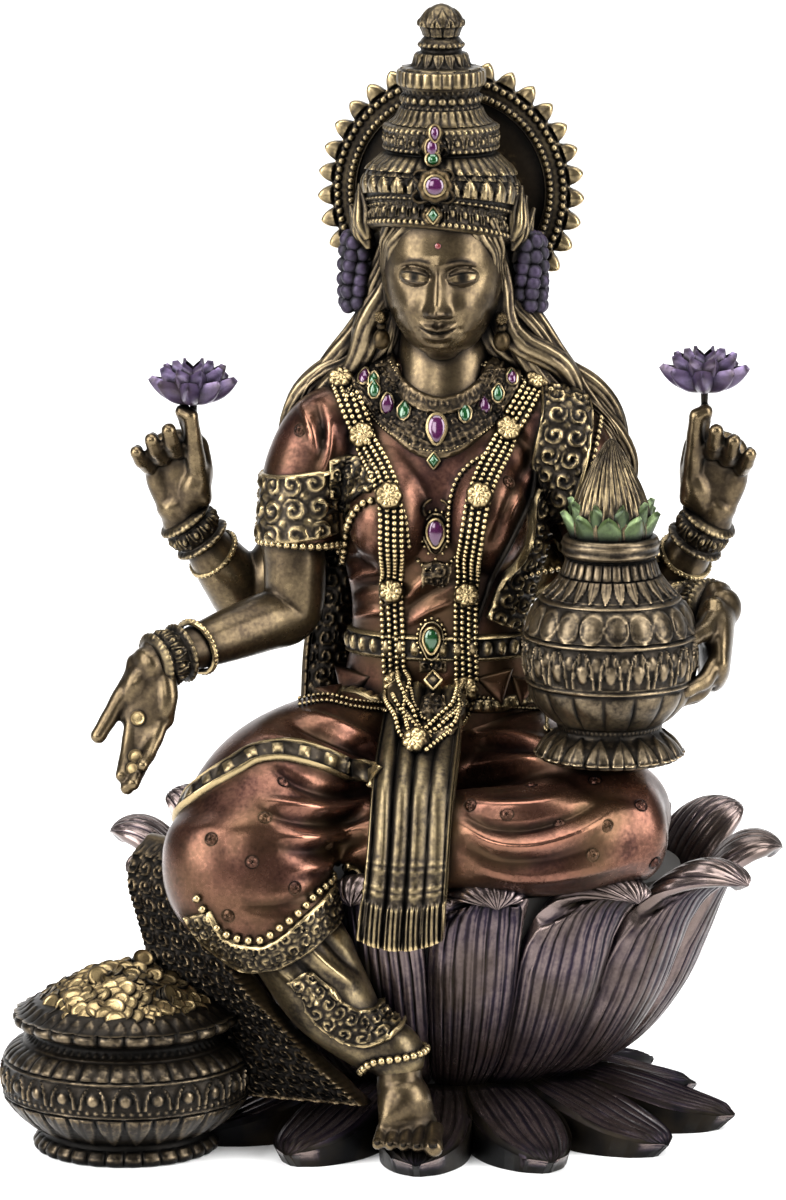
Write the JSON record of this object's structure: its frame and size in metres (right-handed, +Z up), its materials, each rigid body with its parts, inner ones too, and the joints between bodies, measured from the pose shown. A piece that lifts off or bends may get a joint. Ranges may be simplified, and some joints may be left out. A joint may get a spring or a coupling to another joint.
{
  "type": "lakshmi figure",
  "caption": "Seated four-armed goddess on a lotus throne with halo, tall crown, held lotus flowers, water pot and a pot of coins, cast as one small table figure.",
  "frame": {"origin": "on the ground under the middle of the lotus throne, in its flat underside", "axes": "+Z up through the figure to the crown, -Y the way she faces, +X to the viewer's right and her left"},
  "size_m": [0.1685, 0.121, 0.2475],
  "materials": {
    "bronze": "cold-cast bronze: dark brown patina, rubbed back to yellow bronze on the raised work",
    "copper_cloth": "bronze tinted copper red on the cloth, rubbed back on the folds",
    "violet_petals": "bronze tinted violet on the lotus petals",
    "gold_work": "pale gold highlights on the garland and the coins",
    "red_violet_stones": "glossy red-violet painted stones",
    "green_stones": "glossy green painted stones and leaves"
  },
  "bodies": {
    "root": {"lakshmi_on_lotus": "bronze"}
  },
  "joints": []
}
